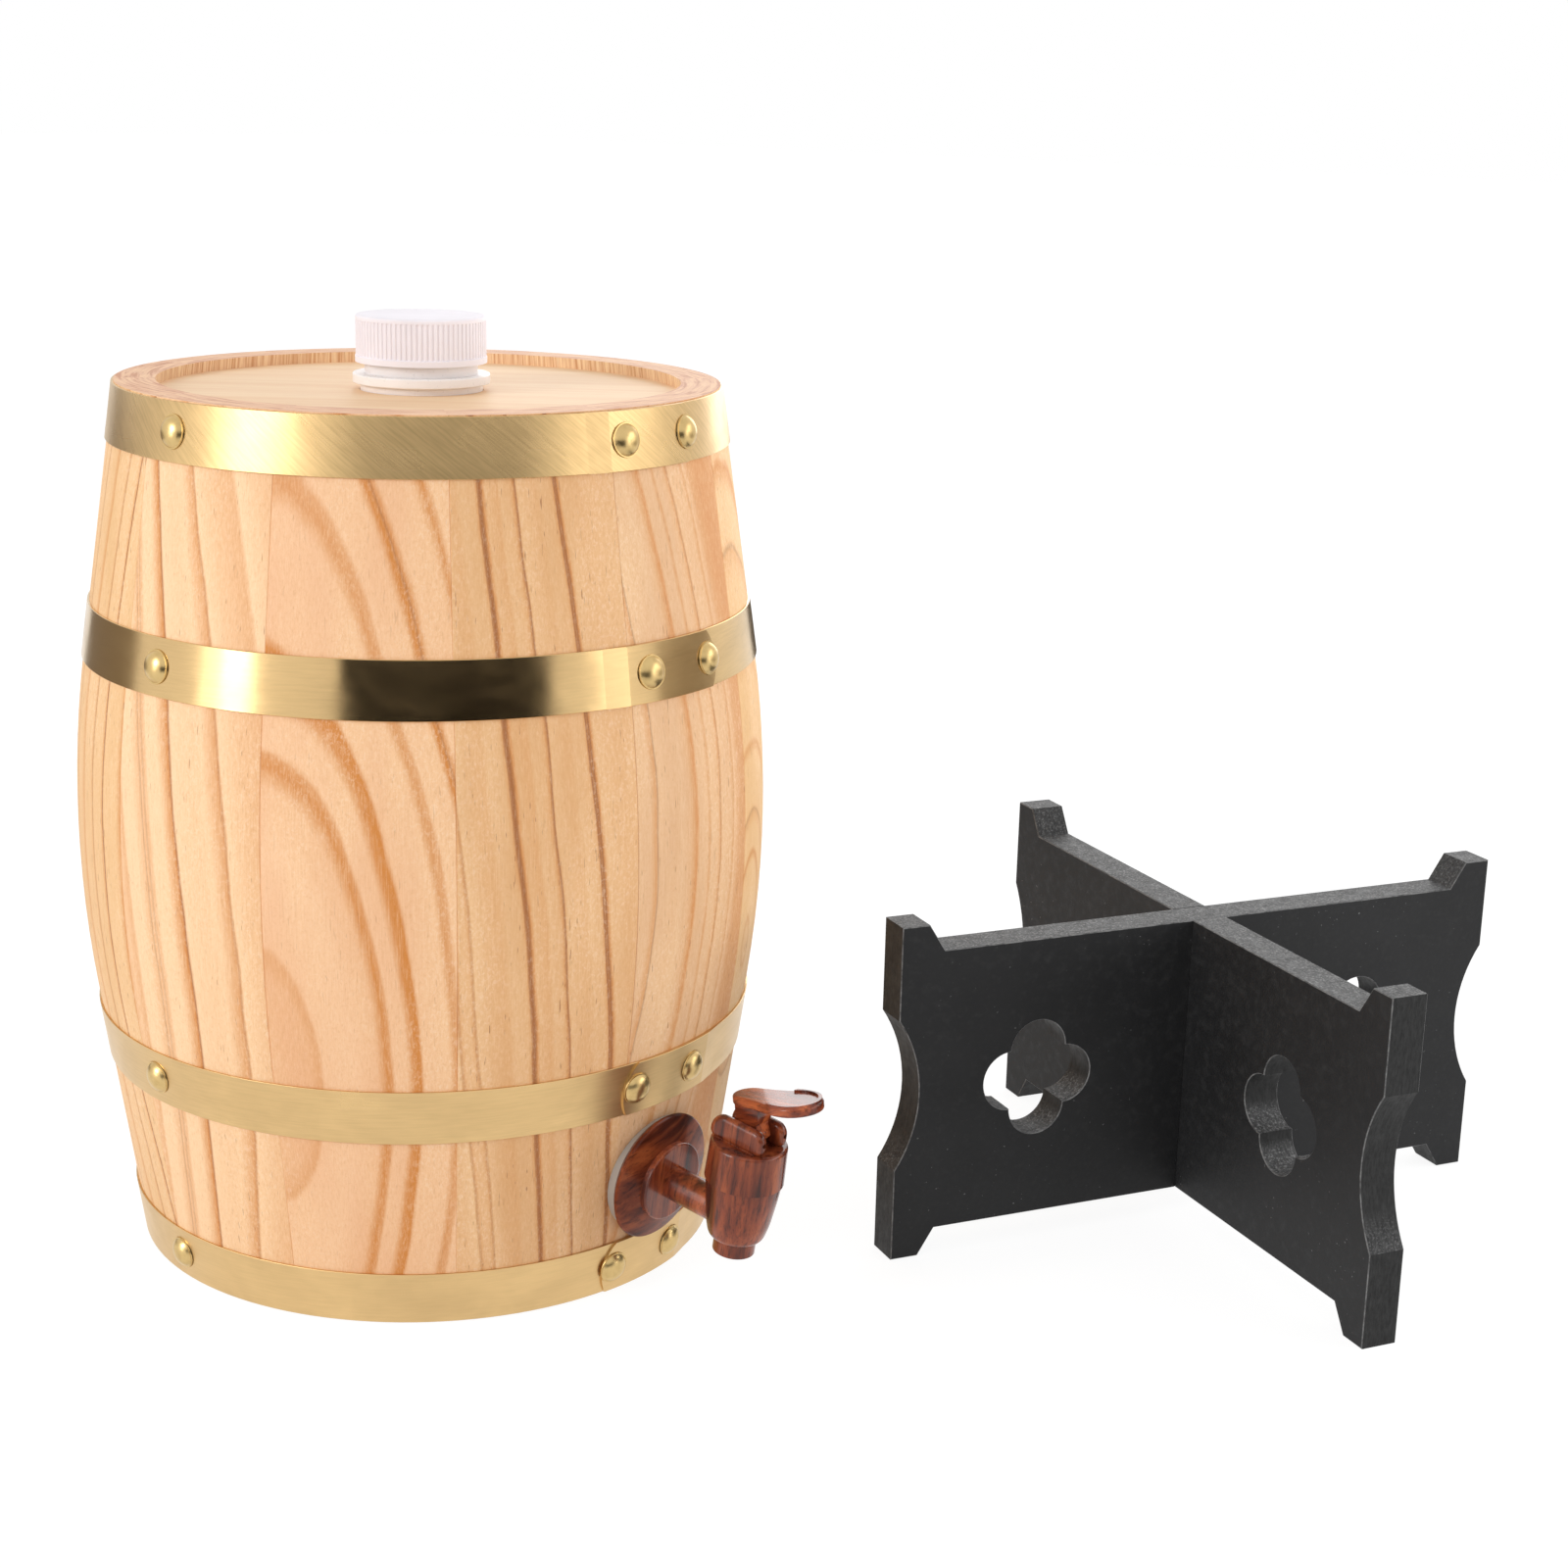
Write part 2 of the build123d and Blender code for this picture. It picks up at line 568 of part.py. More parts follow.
# ---------------------------------------------------------------- seat cup and stem
cup_top = INSERT_TOP + CUP_RIM_T
cup_section = panel(
    (0, SEAT_U), (PLUG_R - 0.4, SEAT_U), (PLUG_R, SEAT_U + 0.4), (PLUG_R, 0.4), (7.2, INSERT_TOP - 0.6),
    (7.6, INSERT_TOP), (INSERT_R - 0.2, INSERT_TOP), (INSERT_R - 0.2, cup_top), (6.8, cup_top),
    (4.9, 1.2), (STEM_R, 1.2), (STEM_R, -1.0), (STEM_FOOT_R, -1.0), (STEM_FOOT_R, STEM_FOOT_U),
    (0, STEM_FOOT_U))
save("seat_cup", one(TAP * BODY * spun(cup_section)))

stem = post(STEM_R, -2.0, BONNET_TOP) + post(STEM_FOOT_R, STEM_FOOT_U, -1.0)
blade = post(STEM_R, BONNET_TOP - 1, STEM_TOP) & Pos(0, 0, STEM_TOP - 10) * Box(20, 2 * STEM_FLAT, 20)
stem = stem + blade
slot = extrude(
    Plane.XZ * Pos(-LINK_SLIDE / 2, LINK_U) * SlotCenterToCenter(LINK_SLIDE, 2 * (LINK_PIN_R + RUN_CLEAR)),
    20, both=True)
stem = stem - slot
save("stem", one(TAP * BODY * one(stem)))

# ---------------------------------------------------------------- lever
hub = Pos(PIVOT_OUT, 0, PIVOT_U) * Rot(90, 0, 0) * Cylinder(HUB_R, 2 * LEVER_HALF)
arm_face = make_face(Polyline(
    (-5.5, NECK_U + 0.2), (-5.5, 35.0), (-3.4, 32.4), (PIVOT_OUT, PIVOT_U - HUB_R),
    (PIVOT_OUT + HUB_R * 0.7, PIVOT_U - HUB_R * 0.7), (PIVOT_OUT + HUB_R, PIVOT_U),
    (PIVOT_OUT + HUB_R * 0.7, PIVOT_U + HUB_R * 0.8), (4.1, NECK_U + 0.2), close=True))
arm = extrude(Plane.XZ * arm_face, LEVER_HALF, both=True)
tilt = radians(PADDLE_TILT)


def paddle_plane(lift):
    """Plane at a height under the paddle's middle, x outwards along the paddle."""
    origin = (PADDLE_OUT - lift * sin(tilt), 0, PADDLE_FOOT_U + lift * cos(tilt))
    return Plane(origin=origin, x_dir=(cos(tilt), 0, sin(tilt)), z_dir=(-sin(tilt), 0, cos(tilt)))


neck_low = Plane(origin=(-0.7, 0, NECK_U)) * Rectangle(9.6, 2 * LEVER_HALF)
neck_mid = Plane(origin=(-0.5, 0, NECK_U + 3)) * Rectangle(10.8, 2 * LEVER_HALF + 1.2)
neck_high = paddle_plane(PADDLE_LIFT - PADDLE_T + 0.8) * Pos(-9.2, 0) * Rectangle(14.6, 2 * NECK_FLARE)
neck = loft([neck_low, neck_mid, neck_high])

back_x, back_y = PADDLE_HALVES[0]
back_r = ((back_x - PADDLE_BACK)**2 + back_y**2) / (2 * (back_x - PADDLE_BACK))
front_x = PADDLE_END - PADDLE_END_R
half = PADDLE_HALVES + [(front_x, PADDLE_END_R)]
leave = (back_y, back_r - back_x + PADDLE_BACK)
upper = Spline(half, tangents=[leave, (1, 0)])
lower = Spline([(x, -y) for x, y in half], tangents=[(leave[0], -leave[1]), (1, 0)])
end = ThreePointArc((front_x, PADDLE_END_R), (PADDLE_END, 0), (front_x, -PADDLE_END_R))
back = ThreePointArc((back_x, back_y), (PADDLE_BACK, 0), (back_x, -back_y))
paddle_face = make_face([upper, end, lower, back])
paddle = extrude(paddle_plane(PADDLE_LIFT - PADDLE_T) * paddle_face, PADDLE_T)
rim_edges = [e for e in paddle.edges() if e.length > 6]
paddle = fillet(rim_edges, PADDLE_EDGE)
lip_cut = Pos(PADDLE_END - LIP_END_W - LIP_CUT_R, 0) * Circle(LIP_CUT_R)
lip_face = scale(paddle_face, by=0.975) - lip_cut - Pos(LIP_START - 20, 0) * Rectangle(40, 40)
lip = extrude(paddle_plane(PADDLE_LIFT - 0.3) * lip_face, LIP_H + 0.3)
neck = neck & extrude(paddle_plane(-8) * scale(paddle_face, by=0.96), PADDLE_LIFT + 8 - PADDLE_T / 2)
lever = hub + arm + neck + paddle + lip
lever = lever - Pos(PIVOT_OUT, 0, PIVOT_U) * Rot(90, 0, 0) * Cylinder(PIVOT_PIN_R + RUN_CLEAR, 20)
lever = lever - Pos(0, 0, LINK_U) * Rot(90, 0, 0) * Cylinder(LINK_PIN_R, 20)
lever = lever - Pos(-1.2, 0, 33.0) * Box(9.4, 2 * LEVER_SLOT, 7.0)
save("lever", one(TAP * BODY * one(lever)))

pivot_pin = Pos(PIVOT_OUT, 0, PIVOT_U) * Rot(90, 0, 0) * Cylinder(PIVOT_PIN_R, 2 * PIVOT_PIN_HALF)
save("pivot_pin", one(TAP * BODY * pivot_pin))
link_pin = Pos(0, 0, LINK_U) * Rot(90, 0, 0) * Cylinder(LINK_PIN_R, 2 * LEVER_HALF)
save("link_pin", one(TAP * BODY * link_pin))

# ---------------------------------------------------------------- cross stand
half_l = BOARD_L / 2
arc0 = (BOARD_H - END_ARC_H) / 2
arc1 = BOARD_H - arc0
board_edges = []
corner = [
    (half_l - HORN_W - HORN_RUN, HORN_DROP), (half_l - HORN_W, 0), (half_l, 0), (half_l, arc0)]
for sign in (1, -1):
    low = [(sign * x, z) for x, z in corner]
    high = [(sign * x, BOARD_H - z) for x, z in corner]
    for chain in (low, high):
        for first, second in zip(chain, chain[1:]):
            board_edges.append(Line(first, second))
    bite = (sign * (half_l - END_ARC_IN), BOARD_H / 2)
    board_edges.append(ThreePointArc(low[-1], bite, high[-1]))
    foil = [Pos(sign * FOIL_OUT + dx, BOARD_H / 2 + dz) * Circle(FOIL_LOBE_R) for dx, dz in (
        (FOIL_LOBE_OUT, 0), (-FOIL_LOBE_OUT, 0), (0, FOIL_LOBE_OUT), (0, -FOIL_LOBE_OUT))]
    if sign > 0:
        foils = foil
    else:
        foils = foils + foil
for z in (HORN_DROP, BOARD_H - HORN_DROP):
    board_edges.append(Line((HORN_W + HORN_RUN - half_l, z), (half_l - HORN_W - HORN_RUN, z)))
board_face = make_face(board_edges)
for lobe in foils:
    board_face = board_face - lobe
board = extrude(Plane.XZ * board_face, BOARD_T / 2, both=True)
face_edges = [e for e in board.edges() if abs(abs(e.position_at(0.5).Y) - BOARD_T / 2) < 0.01]
board = one(chamfer(face_edges, BOARD_ARRIS))
slot_w = BOARD_T + 2 * LAP_CLEAR
slot_low = Pos(0, 0, BOARD_H / 4) * Box(slot_w, 40, BOARD_H / 2)
slot_high = Pos(0, 0, BOARD_H * 3 / 4) * Box(slot_w, 40, BOARD_H / 2)
upper_board = one(board - slot_low)
lower_board = one(board - slot_high)
save("stand_upper_board", Pos(STAND_X, STAND_Y, 0) * Rot(0, 0, STAND_TURN) * upper_board)
save("stand_lower_board", Pos(STAND_X, STAND_Y, 0) * Rot(0, 0, STAND_TURN - 90) * lower_board)
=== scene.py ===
"""Looks of the cask liquor dispenser and its cross stand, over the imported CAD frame."""
import math
import random

import bpy
from mathutils import Matrix, Vector

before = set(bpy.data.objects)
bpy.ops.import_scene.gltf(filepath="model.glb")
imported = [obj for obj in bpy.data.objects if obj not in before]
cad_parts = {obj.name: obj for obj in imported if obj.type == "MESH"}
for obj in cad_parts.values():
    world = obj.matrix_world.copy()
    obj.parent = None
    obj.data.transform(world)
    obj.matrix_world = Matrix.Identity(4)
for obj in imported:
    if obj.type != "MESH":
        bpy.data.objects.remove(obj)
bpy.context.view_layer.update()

# The cask as the solids have it, in millimetres: its outside is an arc about
# mid height that goes over into straight tapers. Azimuths are in degrees,
# counted round the cask from its tap, and stave_01 begins at FIRST_JOINT.
MM_PER_METRE = 1000.0
STAVES = 12
STAVE_ANGLE = 360.0 / STAVES
FIRST_JOINT = -9.8
MID_HEIGHT = 160.0
ARC_RADIUS = 430.0
ARC_HALF_HEIGHT = 62.0
WALL_TAPER = 0.1457
TAP_SLOPE = math.atan(ARC_HALF_HEIGHT / math.sqrt(ARC_RADIUS**2 - ARC_HALF_HEIGHT**2))
TAP_OUT = Vector((0.0, -math.cos(TAP_SLOPE), -math.sin(TAP_SLOPE)))
TAP_UP = Vector((0.0, -math.sin(TAP_SLOPE), math.cos(TAP_SLOPE)))
STAND_TURN = math.radians(-28.17)

# The photograph's camera: its place and nearest distance in metres, its sensor
# and lens in millimetres.
VIEW_AZIMUTH = math.radians(-52.28)
VIEW_TILT = math.radians(74.94)
VIEW_ROLL = math.radians(1.455)
CAMERA_PLACE = (-0.6631, -0.6832, 0.4250)
SENSOR_WIDTH = 36.0
LENS = 59.52
NEAREST = 0.01


# ------------------------------------------------------------------ node helpers
def linear(*rgb):
    """An sRGB colour of 0 to 255 as linear numbers with alpha."""
    out = []
    for value in rgb:
        value = value / 255.0
        out.append(value / 12.92 if value <= 0.04045 else ((value + 0.055) / 1.055) ** 2.4)
    return (*out, 1.0)


def darker(colour, share):
    """A linear colour at a share of its brightness."""
    return tuple(part * share for part in colour[:3]) + (1.0,)


def feed(tree, socket, value):
    """Link a socket, or set a plain value."""
    if isinstance(value, bpy.types.NodeSocket):
        tree.links.new(value, socket)
    else:
        socket.default_value = value


def math_node(tree, operation, *values, clamp=False):
    node = tree.nodes.new("ShaderNodeMath")
    node.operation = operation
    node.use_clamp = clamp
    for socket, value in zip(node.inputs, values):
        feed(tree, socket, value)
    return node.outputs[0]


def plus(tree, a, b):
    return math_node(tree, "ADD", a, b)


def minus(tree, a, b):
    return math_node(tree, "SUBTRACT", a, b)


def times(tree, a, b):
    return math_node(tree, "MULTIPLY", a, b)


def size_of(tree, value):
    return math_node(tree, "ABSOLUTE", value)


def hypotenuse(tree, a, b):
    return math_node(tree, "SQRT", plus(tree, times(tree, a, a), times(tree, b, b)))


def vector(tree, x, y, z):
    node = tree.nodes.new("ShaderNodeCombineXYZ")
    for socket, value in zip(node.inputs, (x, y, z)):
        feed(tree, socket, value)
    return node.outputs[0]


def dot(tree, a, b):
    node = tree.nodes.new("ShaderNodeVectorMath")
    node.operation = "DOT_PRODUCT"
    feed(tree, node.inputs[0], a)
    feed(tree, node.inputs[1], b)
    return node.outputs["Value"]


def noise(tree, at, scale, detail, rough=0.5, distort=0.0):
    node = tree.nodes.new("ShaderNodeTexNoise")
    feed(tree, node.inputs["Vector"], at)
    node.inputs["Scale"].default_value = scale
    node.inputs["Detail"].default_value = detail
    node.inputs["Roughness"].default_value = rough
    node.inputs["Distortion"].default_value = distort
    return node.outputs["Fac"]


def remap(tree, value, low, high, to_low=0.0, to_high=1.0):
    """Straight change from one range to another, held at its ends."""
    node = tree.nodes.new("ShaderNodeMapRange")
    for socket, number in zip(node.inputs, (value, low, high, to_low, to_high)):
        feed(tree, socket, number)
    return node.outputs[0]


def mix(tree, factor, a, b):
    """Colour a, going over to colour b as the factor rises."""
    node = tree.nodes.new("ShaderNodeMix")
    node.data_type = "RGBA"
    feed(tree, node.inputs["Factor"], factor)
    feed(tree, node.inputs[6], a)
    feed(tree, node.inputs[7], b)
    return node.outputs[2]


def ramp(tree, value, stops):
    """Grey or colour ramp through (position, value) stops."""
    node = tree.nodes.new("ShaderNodeValToRGB")
    elements = node.color_ramp.elements
    while len(elements) > 1:
        elements.remove(elements[-1])
    for spot, (position, shade) in enumerate(stops):
        element = elements[0] if spot == 0 else elements.new(position)
        element.position = position
        element.color = shade if isinstance(shade, tuple) else (shade, shade, shade, 1.0)
    feed(tree, node.inputs[0], value)
    return node.outputs[0]


def object_place(tree):
    return tree.nodes.new("ShaderNodeTexCoord").outputs["Object"]


def object_normal(tree):
    return tree.nodes.new("ShaderNodeTexCoord").outputs["Normal"]


def split(tree, place):
    node = tree.nodes.new("ShaderNodeSeparateXYZ")
    feed(tree, node.inputs[0], place)
    return node.outputs


def azimuth(tree, x, y):
    """Angle round the cask from its tap, in radians."""
    return math_node(tree, "ARCTAN2", x, times(tree, y, -1.0))


def bump(tree, height, strength, distance):
    node = tree.nodes.new("ShaderNodeBump")
    node.inputs["Strength"].default_value = strength
    node.inputs["Distance"].default_value = distance
    feed(tree, node.inputs["Height"], height)
    return node.outputs[0]


def even_light(tree, kind, strength, colour=(1.0, 1.0, 1.0, 1.0)):
    """Emission or background of one colour."""
    node = tree.nodes.new(kind)
    node.inputs["Color"].default_value = colour
    node.inputs["Strength"].default_value = strength
    return node.outputs[0]


def mix_shaders(tree, factor, first, second):
    node = tree.nodes.new("ShaderNodeMixShader")
    feed(tree, node.inputs[0], factor)
    feed(tree, node.inputs[1], first)
    feed(tree, node.inputs[2], second)
    return node.outputs[0]


def looked_at(tree):
    """1 for camera, glossy and transmission rays, 0 for the rays that light things."""
    path = tree.nodes.new("ShaderNodeLightPath")
    through = math_node(tree, "MAXIMUM", path.outputs["Is Glossy Ray"],
                        path.outputs["Is Transmission Ray"])
    return math_node(tree, "MAXIMUM", path.outputs["Is Camera Ray"], through)


def empty_tree(owner):
    """The cleared node tree of a material or of the world."""
    owner.use_nodes = True
    owner.node_tree.nodes.clear()
    return owner.node_tree


def show(tree, surface, kind="ShaderNodeOutputMaterial"):
    """Put a shader on the tree's output."""
    tree.links.new(surface, tree.nodes.new(kind).inputs["Surface"])


def new_material(name):
    """An empty material with its Principled shader."""
    material = bpy.data.materials.new(name)
    tree = empty_tree(material)
    shader = tree.nodes.new("ShaderNodeBsdfPrincipled")
    show(tree, shader.outputs[0])
    return material, tree, shader


def give(node, material):
    """Put a material on a CAD node."""
    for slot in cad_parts[node].material_slots:
        slot.material = material


# ------------------------------------------------------------------ pale softwood
EARLY = linear(250, 210, 162)
LATE = linear(207, 130, 54)
DARK_LINE = linear(116, 54, 24)
FIBRE_DARK = linear(205, 146, 96)
FIBRE_PALE = linear(253, 222, 184)
FLECK = linear(150, 88, 46)
NAP_DARK = linear(206, 148, 98)
NAP_PALE = linear(255, 232, 205)
END_GRAIN = linear(224, 172, 138)
END_PALE = linear(244, 202, 164)
END_DARK = linear(198, 136, 102)
END_PORE = linear(176, 112, 84)
SAWN_DARK = linear(206, 150, 106)
SAWN_PALE = linear(255, 228, 188)
HEAD_PALE = linear(244, 211, 172)
HEAD_DARK = linear(238, 199, 157)
HEAD_FIBRE = linear(206, 150, 100)

# The ring coordinate runs from 0 to this, in degrees, and then back.
RING_SPAN = 60.0
# Above this height the rings round a centre are drawn out: this share of the
# height there isn't counted.
DRAWN_FROM = 222.0
DRAWN_SHARE = 0.35
# The inside's colour comes in between these radii, measured as if the wall had
# no taper, and between these heights.
INNER_RADII = (122.5, 119.5)
INNER_HEIGHTS = (312.0, 314.0)

# Growth rings of the four staves that the photograph shows best. "late" is the
# share of late wood and "line" that of the thin dark lines, both as stops of
# (ring coordinate, share). The ring coordinate is the angle across the stave,
# and "centre" makes it the distance from a place (angle, height, how many
# millimetres of height count as a degree), "slope" adds degrees per millimetre
# of height and "curve" (rate, height) adds the rate times the square of the
# distance from that height. "tint" is the stave's own early wood, which drifts
# towards EARLY; "flecks" and "strength" scale the flecks and the late wood.
STAVE_LOOKS = {
    "stave_01": {
        "curve": (0.0005, 175.0),
        "late": [(0, .1), (2.6, .1), (3.7, .55), (4.1, .05), (8.0, .12), (9.5, .05), (11.6, .2),
                 (13.2, .7), (13.8, .12), (16.2, .1), (16.9, .5), (17.4, .05), (19.6, .2),
                 (20.3, .65), (20.8, .1), (24.0, .2), (24.8, .55), (25.2, .1), (27.0, .5),
                 (30.0, .6)],
        "line": [(0, 0), (3.8, 0), (4.0, .45), (4.25, 0), (20.2, 0), (20.4, .3), (20.6, 0),
                 (60, 0)],
        "tint": linear(223, 181, 140),
    },
    "stave_12": {
        "slope": 0.04,
        "late": [(0, .2), (.6, .2), (1.3, .55), (1.7, .05), (3.5, .2), (6.0, .28), (7.0, .1),
                 (9.2, .15), (10.0, .7), (10.7, .7), (11.2, .15), (13.2, .35), (13.8, .1),
                 (15.4, .2), (16.3, .65), (16.8, .1), (20.0, .25), (21.0, .12), (22.8, .2),
                 (23.5, .7), (24.2, .7), (24.7, .12), (28, .25), (35, .2)],
        "line": [(0, 0), (1.1, 0), (1.3, .4), (1.5, 0), (9.75, 0), (9.95, 1), (10.2, .25),
                 (10.4, .9), (10.65, 0), (16.1, 0), (16.35, .8), (16.6, 0), (23.3, 0),
                 (23.5, .95), (23.75, .2), (23.95, .8), (24.2, 0), (60, 0)],
        "tint": linear(221, 175, 125),
    },
    "stave_11": {
        "centre": (0.0, 95.0, 5.75),
        "late": [(0, .16), (6.2, .2), (7.9, .38), (8.5, .05), (14.0, .0), (17.8, .12),
                 (19.2, .62), (19.9, .5), (20.3, .05), (22.3, .08), (23.3, .6), (24.4, .72),
                 (24.9, .08), (29.0, .06), (29.9, .5), (30.7, .4), (31.1, .05), (33.9, .08),
                 (34.7, .7), (35.5, .5), (36.0, .06), (39.0, .1), (40.0, .6), (40.8, .05),
                 (45, .2), (46, .5), (46.7, .05), (60, .1)],
        "line": [(0, 0), (34.9, 0), (35.15, .35), (35.4, 0), (60, 0)],
        "tint": linear(238, 188, 146),
        "flecks": 0.35,
        "strength": 1.3,
    },
    "stave_10": {
        "slope": 0.035,
        "curve": (0.00032, MID_HEIGHT),
        "late": [(0, .3), (1.6, .5), (2.2, .1), (5.0, .1), (7.0, .4), (8.8, .4), (9.3, .1),
                 (12.2, .12), (13.6, .5), (14.9, .9), (15.3, .12), (19.5, .2), (21.5, .15),
                 (23.6, .55), (24.5, .7), (25.0, .12), (28.0, .3), (33.0, .5), (34.0, .1),
                 (40.0, .4)],
        "line": [(0, 0), (7.0, 0), (7.2, .5), (7.4, 0), (7.9, 0), (8.1, .45), (8.3, 0),
                 (14.7, 0), (15.0, .6), (15.3, 0), (24.3, 0), (24.5, .4), (24.8, 0), (60, 0)],
        # stave_10's tint is partly painted highlight: paler and creamier, as the lit left side
        # looks.
        "tint": linear(251, 213, 170),
    },
}


# Made-up rings: the seed that the stave's number is added to, how far round
# bands begin, and how many stops the two ramps may have before more are added
# (a ramp holds 32).
FIRST_SEED = 40
LAST_BAND = 52
LATE_STOPS = 26
LINE_STOPS = 24


def made_up_look(number):
    """Rings for a stave that the photograph doesn't show."""
    rng = random.Random(FIRST_SEED + number)
    late = [(0.0, rng.uniform(0.1, 0.3))]
    line = [(0.0, 0.0)]
    at = rng.uniform(1.0, 4.0)
    while at < LAST_BAND and len(late) < LATE_STOPS:
        high = rng.uniform(0.35, 0.85)
        wide = rng.uniform(0.6, 1.8)
        late += [(at, 0.1), (at + wide, high), (at + wide + 0.45, 0.08)]
        if rng.random() < 0.4 and len(line) < LINE_STOPS:
            peak = at + wide
            line += [(peak - 0.2, 0.0), (peak, rng.uniform(0.3, 0.9)), (peak + 0.22, 0.0)]
        at += wide + rng.uniform(2.2, 6.0)
    look = {"late": late, "line": line + [(RING_SPAN, 0.0)]}
    if rng.random() < 0.45:
        look["centre"] = (rng.uniform(-4, 34), rng.uniform(60, 260), rng.uniform(4.5, 7.0))
    else:
        look["slope"] = rng.uniform(-0.04, 0.04)
        look["curve"] = (rng.uniform(-0.0004, 0.0004), MID_HEIGHT)
    red = rng.randint(224, 246)
    look["tint"] = linear(red, red - rng.randint(42, 54), red - rng.randint(88, 104))
    return look


def ring_coordinate(tree, look, across, z):
    """The angle across the stave, bent as its look says."""
    ring = across
    if "centre" in look:
        angle, height, stretch = look["centre"]
        aside = minus(tree, across, angle)
        above = math_node(tree, "MAXIMUM", minus(tree, z, DRAWN_FROM), 0.0)
        drawn = minus(tree, z, times(tree, above, DRAWN_SHARE))
        up = math_node(tree, "DIVIDE", minus(tree, drawn, height), stretch)
        ring = hypotenuse(tree, aside, up)
    if "slope" in look:
        ring = plus(tree, ring, times(tree, minus(tree, z, MID_HEIGHT), look["slope"]))
    if "curve" in look:
        rate, height = look["curve"]
        off = minus(tree, z, height)
        ring = plus(tree, ring, times(tree, times(tree, off, off), rate))
    return ring


def stave_material(number):
    """Turned pine stave: ring bands, fine fibre, resin flecks and end grain."""
    name = "stave_" + str(number).zfill(2)
    look = STAVE_LOOKS.get(name) or made_up_look(number)
    seed = number * 7.3
    middle = FIRST_JOINT + (number - 1) * STAVE_ANGLE + STAVE_ANGLE / 2
    material, tree, shader = new_material("pine_" + name)
    x, y, z = split(tree, object_place(tree))
    z = times(tree, z, MM_PER_METRE)
    angle = minus(tree, times(tree, azimuth(tree, x, y), 180.0 / math.pi), middle)
    across = plus(tree, math_node(tree, "WRAP", angle, 180.0, -180.0), STAVE_ANGLE / 2)
    radius = times(tree, hypotenuse(tree, x, y), MM_PER_METRE)

    def figure(rate_across, rate_up, third, *more, scale=1.0):
        """Noise drawn out along the stave, with detail, roughness and distortion."""
        at = vector(tree, times(tree, across, rate_across), times(tree, z, rate_up), third)
        return noise(tree, at, scale, *more)

    # rings
    slow = times(tree, minus(tree, figure(0.06, 0.012, seed, 2.0), 0.5), 2.4)
    fine = times(tree, minus(tree, figure(1.1, 0.05, seed + 3, 3.0), 0.5), 0.22)
    ring = plus(tree, ring_coordinate(tree, look, across, z), plus(tree, slow, fine))
    ring = math_node(tree, "DIVIDE", math_node(tree, "PINGPONG", ring, RING_SPAN), RING_SPAN)
    late = ramp(tree, ring, [(spot / RING_SPAN, share) for spot, share in look["late"]])
    line = ramp(tree, ring, [(spot / RING_SPAN, share) for spot, share in look["line"]])

    # fibres, flecks and the slow drift of colour
    grain_at = vector(tree, times(tree, across, 2.1), times(tree, z, 0.028),
                      times(tree, radius, 0.9))
    fibre = noise(tree, grain_at, 2.6, 4.0, 0.65)
    fleck = remap(tree, figure(4.4, 0.17, seed + 9, 1.0), 0.70, 0.75, 0.0, look.get("flecks", 1.0))
    fleck = times(tree, fleck, remap(tree, figure(0.35, 0.02, seed + 17, 1.0), 0.40, 0.52))
    cloud = figure(0.09, 0.01, seed + 5, 2.0)

    colour = mix(tree, remap(tree, cloud, 0.3, 0.7, 0.0, 0.6), look["tint"], EARLY)
    strength = look.get("strength", 1.0)
    uneven = remap(tree, fibre, 0.3, 0.7, 0.9 * strength, 1.3 * strength)
    late_share = math_node(tree, "MULTIPLY", late, uneven, clamp=True)
    colour = mix(tree, late_share, colour, LATE)
    colour = mix(tree, line, colour, DARK_LINE)
    colour = mix(tree, remap(tree, fibre, 0.52, 0.8, 0.0, 0.30), colour, FIBRE_DARK)
    colour = mix(tree, remap(tree, fibre, 0.48, 0.2, 0.0, 0.30), colour, FIBRE_PALE)
    colour = mix(tree, times(tree, fleck, 0.7), colour, FLECK)

    # nap left by the turning
    fuzz = figure(2.2, 0.62, radius, 3.0, 0.6, 0.8)
    nap = times(tree, remap(tree, fuzz, 0.50, 0.66), remap(tree, cloud, 0.40, 0.60, 0.05, 0.24))
    colour = mix(tree, nap, colour, NAP_PALE)
    colour = mix(tree, remap(tree, fuzz, 0.44, 0.30, 0.0, 0.22), colour, NAP_DARK)

    # end grain on the rims
    level = size_of(tree, split(tree, object_normal(tree))[2])
    rim = remap(tree, level, 0.75, 0.9)
    lean = 0.02 * (number % 5 - 2)
    depth = plus(tree, times(tree, radius, 0.16), times(tree, across, lean))
    strata_at = vector(tree, times(tree, across, 0.022), depth, seed)
    strata = noise(tree, strata_at, 4.2, 3.0, 0.6, 0.2)
    pores = remap(tree, noise(tree, grain_at, 9.0, 2.0), 0.55, 0.8, 0.0, 0.20)
    end_colour = mix(tree, remap(tree, strata, 0.40, 0.62), END_GRAIN, END_PALE)
    end_colour = mix(tree, remap(tree, strata, 0.46, 0.36, 0.0, 0.6), end_colour, END_DARK)
    end_colour = mix(tree, pores, end_colour, END_PORE)
    colour = mix(tree, rim, colour, end_colour)

    # sawn wood, redder and a little darker, on the inside of the top rim
    off_middle = size_of(tree, minus(tree, z, MID_HEIGHT))
    inner = remap(tree, plus(tree, radius, times(tree, off_middle, WALL_TAPER)), *INNER_RADII)
    inner = times(tree, inner, remap(tree, z, *INNER_HEIGHTS))
    inner = times(tree, inner, remap(tree, level, 0.6, 0.4))
    sawn = figure(1.3, 0.02, seed + 31, 3.0, 0.65, scale=1.6)
    sawn_colour = mix(tree, remap(tree, sawn, 0.36, 0.60), SAWN_DARK, SAWN_PALE)
    colour = mix(tree, times(tree, inner, 0.75), colour, sawn_colour)

